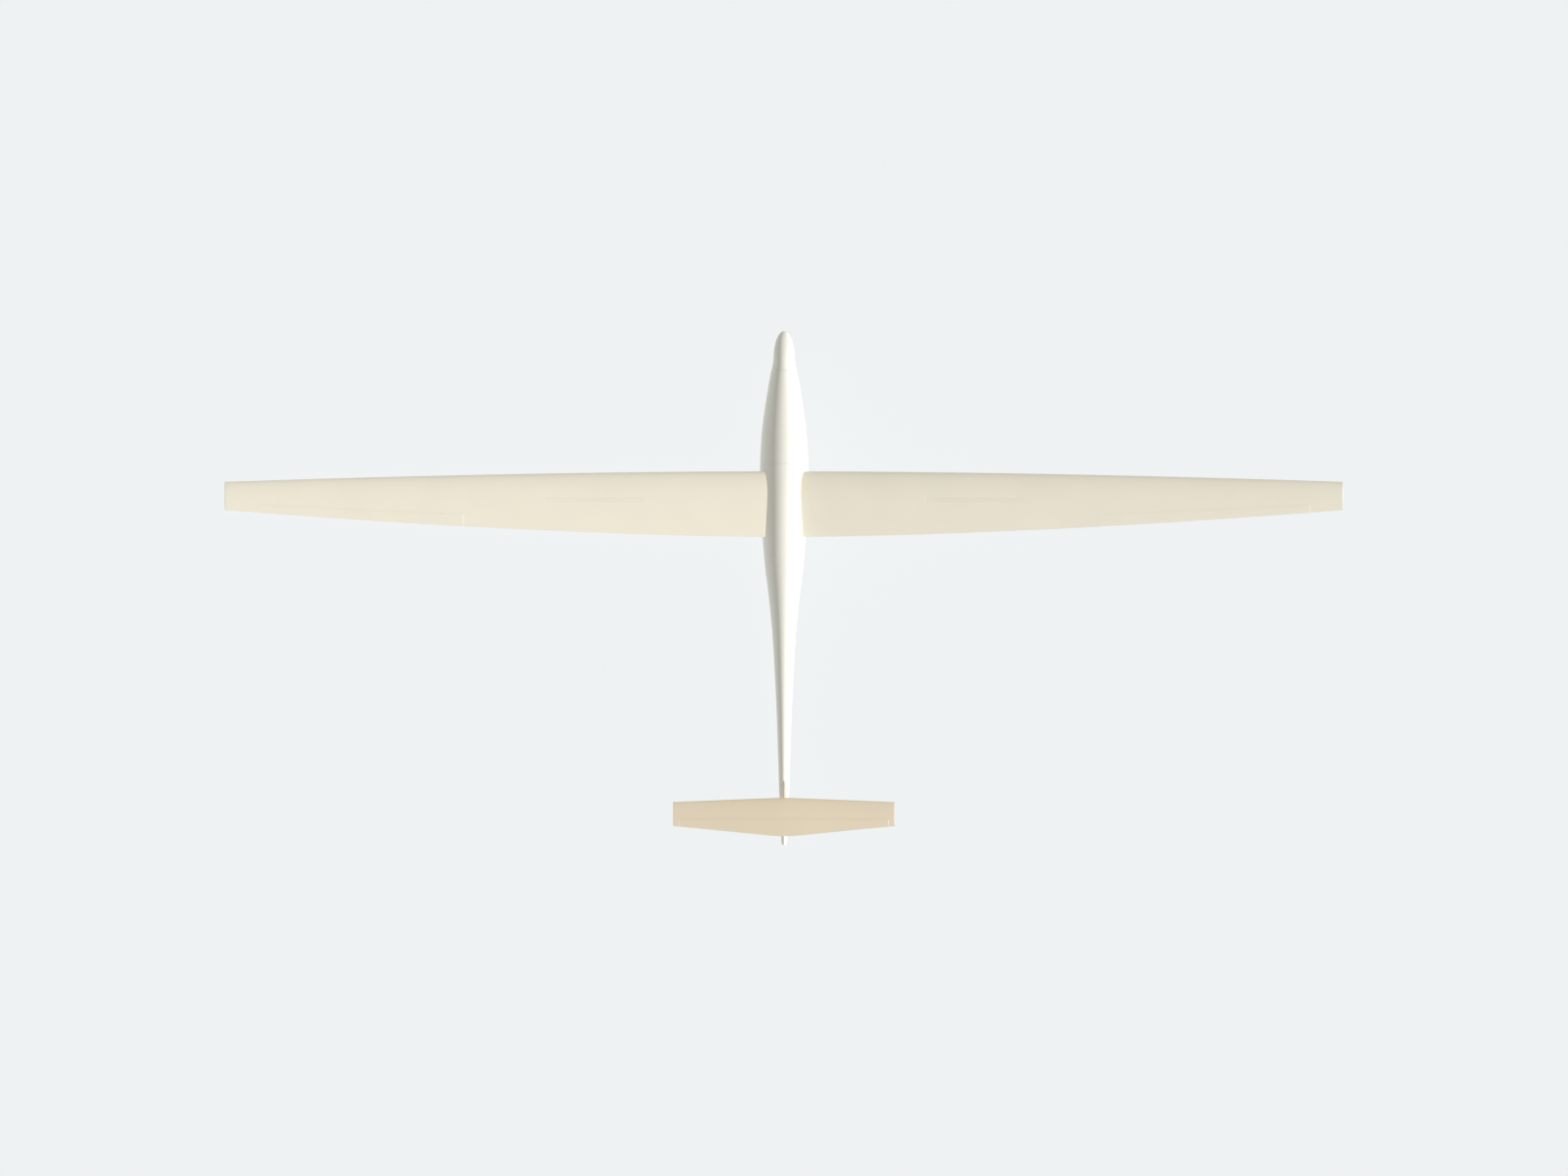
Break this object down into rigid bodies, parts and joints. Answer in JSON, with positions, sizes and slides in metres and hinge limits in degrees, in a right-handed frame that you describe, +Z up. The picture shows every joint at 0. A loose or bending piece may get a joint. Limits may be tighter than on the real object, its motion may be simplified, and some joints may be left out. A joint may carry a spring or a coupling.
{
  "type": "sailplane glider",
  "caption": "Single-seat T-tail sailplane of 15 m span, parked on its wheels and one wing tip, with opening canopy and moving control surfaces.",
  "frame": {"origin": "middle of the bounding box, on the ground that the wheels and the left tip skid stand on", "axes": "+Z up, +Y horizontal towards the nose, +X to the right wing, which is the high one as it parks"},
  "size_m": [14.8788, 6.8752, 2.0669],
  "materials": {
    "gelcoat": "satin cream gelcoat over glass fibre",
    "wing_paint": "satin pale tan paint",
    "tail_paint": "satin tan paint",
    "steel": "grey satin steel",
    "alloy": "machined aluminium",
    "tyre": "black tyre rubber",
    "skid": "hard black wear strip",
    "upholstery": "dark grey woven seat cloth",
    "panel": "matt black textured plastic"
  },
  "bodies": {
    "airframe": {"nose_cone": "gelcoat", "cockpit_tub": "gelcoat", "centre_fuselage": "gelcoat", "tail_boom": "gelcoat", "canopy_bracket_front": "alloy", "canopy_bracket_rear": "alloy", "seat_pan": "upholstery", "seat_back": "upholstery", "headrest": "upholstery", "instrument_panel": "panel", "control_stick": "panel", "rudder_pedals": "alloy", "wing_left": "wing_paint", "wing_tip_left": "wing_paint", "tip_skid_left": "skid", "airbrake_guides_left": "alloy", "wing_right": "wing_paint", "wing_tip_right": "wing_paint", "tip_skid_right": "skid", "airbrake_guides_right": "alloy", "tailplane": "tail_paint", "fin": "tail_paint", "main_frame": "steel", "main_axle": "steel", "tail_frame": "steel", "tail_axle": "steel", "tow_hook": "steel"},
    "canopy": {"canopy_hood": "gelcoat", "canopy_lug_front": "alloy", "canopy_lug_rear": "alloy"},
    "aileron_left": {"aileron_left": "wing_paint"},
    "aileron_right": {"aileron_right": "wing_paint"},
    "airbrake_left": {"airbrake_left": "wing_paint"},
    "airbrake_right": {"airbrake_right": "wing_paint"},
    "elevator": {"elevator": "tail_paint"},
    "rudder": {"rudder": "tail_paint"},
    "main_wheel": {"main_tyre": "tyre", "main_hub": "alloy"},
    "tail_wheel": {"tail_tyre": "tyre", "tail_hub": "alloy"}
  },
  "joints": [
    {"name": "canopy_hinge", "type": "hinge", "parent": "airframe", "child": "canopy", "pos_m": [0.37685, 1.72905, 0.69143], "axis": [-0.0756, 0.9949, 0.0671], "range_deg": [0, 85]},
    {"name": "aileron_left_hinge", "type": "hinge", "parent": "airframe", "child": "aileron_left", "pos_m": [-4.24288, 0.98755, 0.33777], "axis": [-0.9957, 0.0519, -0.0767], "range_deg": [-20, 20]},
    {"name": "aileron_right_hinge", "type": "hinge", "parent": "airframe", "child": "aileron_right", "pos_m": [4.285, 0.90183, 1.4459], "axis": [0.9831, 0.032, 0.1804], "range_deg": [-20, 20]},
    {"name": "airbrake_left_slide", "type": "slide", "parent": "airframe", "child": "airbrake_left", "axis": [-0.0815, -0.0769, 0.9937], "range_m": [0, 0.055]},
    {"name": "airbrake_right_slide", "type": "slide", "parent": "airframe", "child": "airbrake_right", "axis": [-0.1767, -0.0759, 0.9813], "range_m": [0, 0.055]},
    {"name": "elevator_hinge", "type": "hinge", "parent": "airframe", "child": "elevator", "pos_m": [-1.47264, -3.18001, 1.20275], "axis": [0.9916, -0.01, 0.1289], "range_deg": [-25, 20]},
    {"name": "rudder_hinge", "type": "hinge", "parent": "airframe", "child": "rudder", "pos_m": [0.06036, -3.07341, 0.27854], "axis": [-0.1292, -0.0765, 0.9887], "range_deg": [-30, 30]},
    {"name": "main_wheel_spin", "type": "hinge", "parent": "airframe", "child": "main_wheel", "pos_m": [0.11787, 1.34752, 0.17796], "axis": [0.9916, -0.01, 0.1289], "continuous": true},
    {"name": "tail_wheel_spin", "type": "hinge", "parent": "airframe", "child": "tail_wheel", "pos_m": [0.08556, -2.889, 0.09887], "axis": [0.9916, -0.01, 0.1289], "continuous": true}
  ],
  "couplings": [
    {"joint": "aileron_right_hinge", "follows": "aileron_left_hinge", "ratio": 1},
    {"joint": "airbrake_right_slide", "follows": "airbrake_left_slide", "ratio": 1}
  ]
}
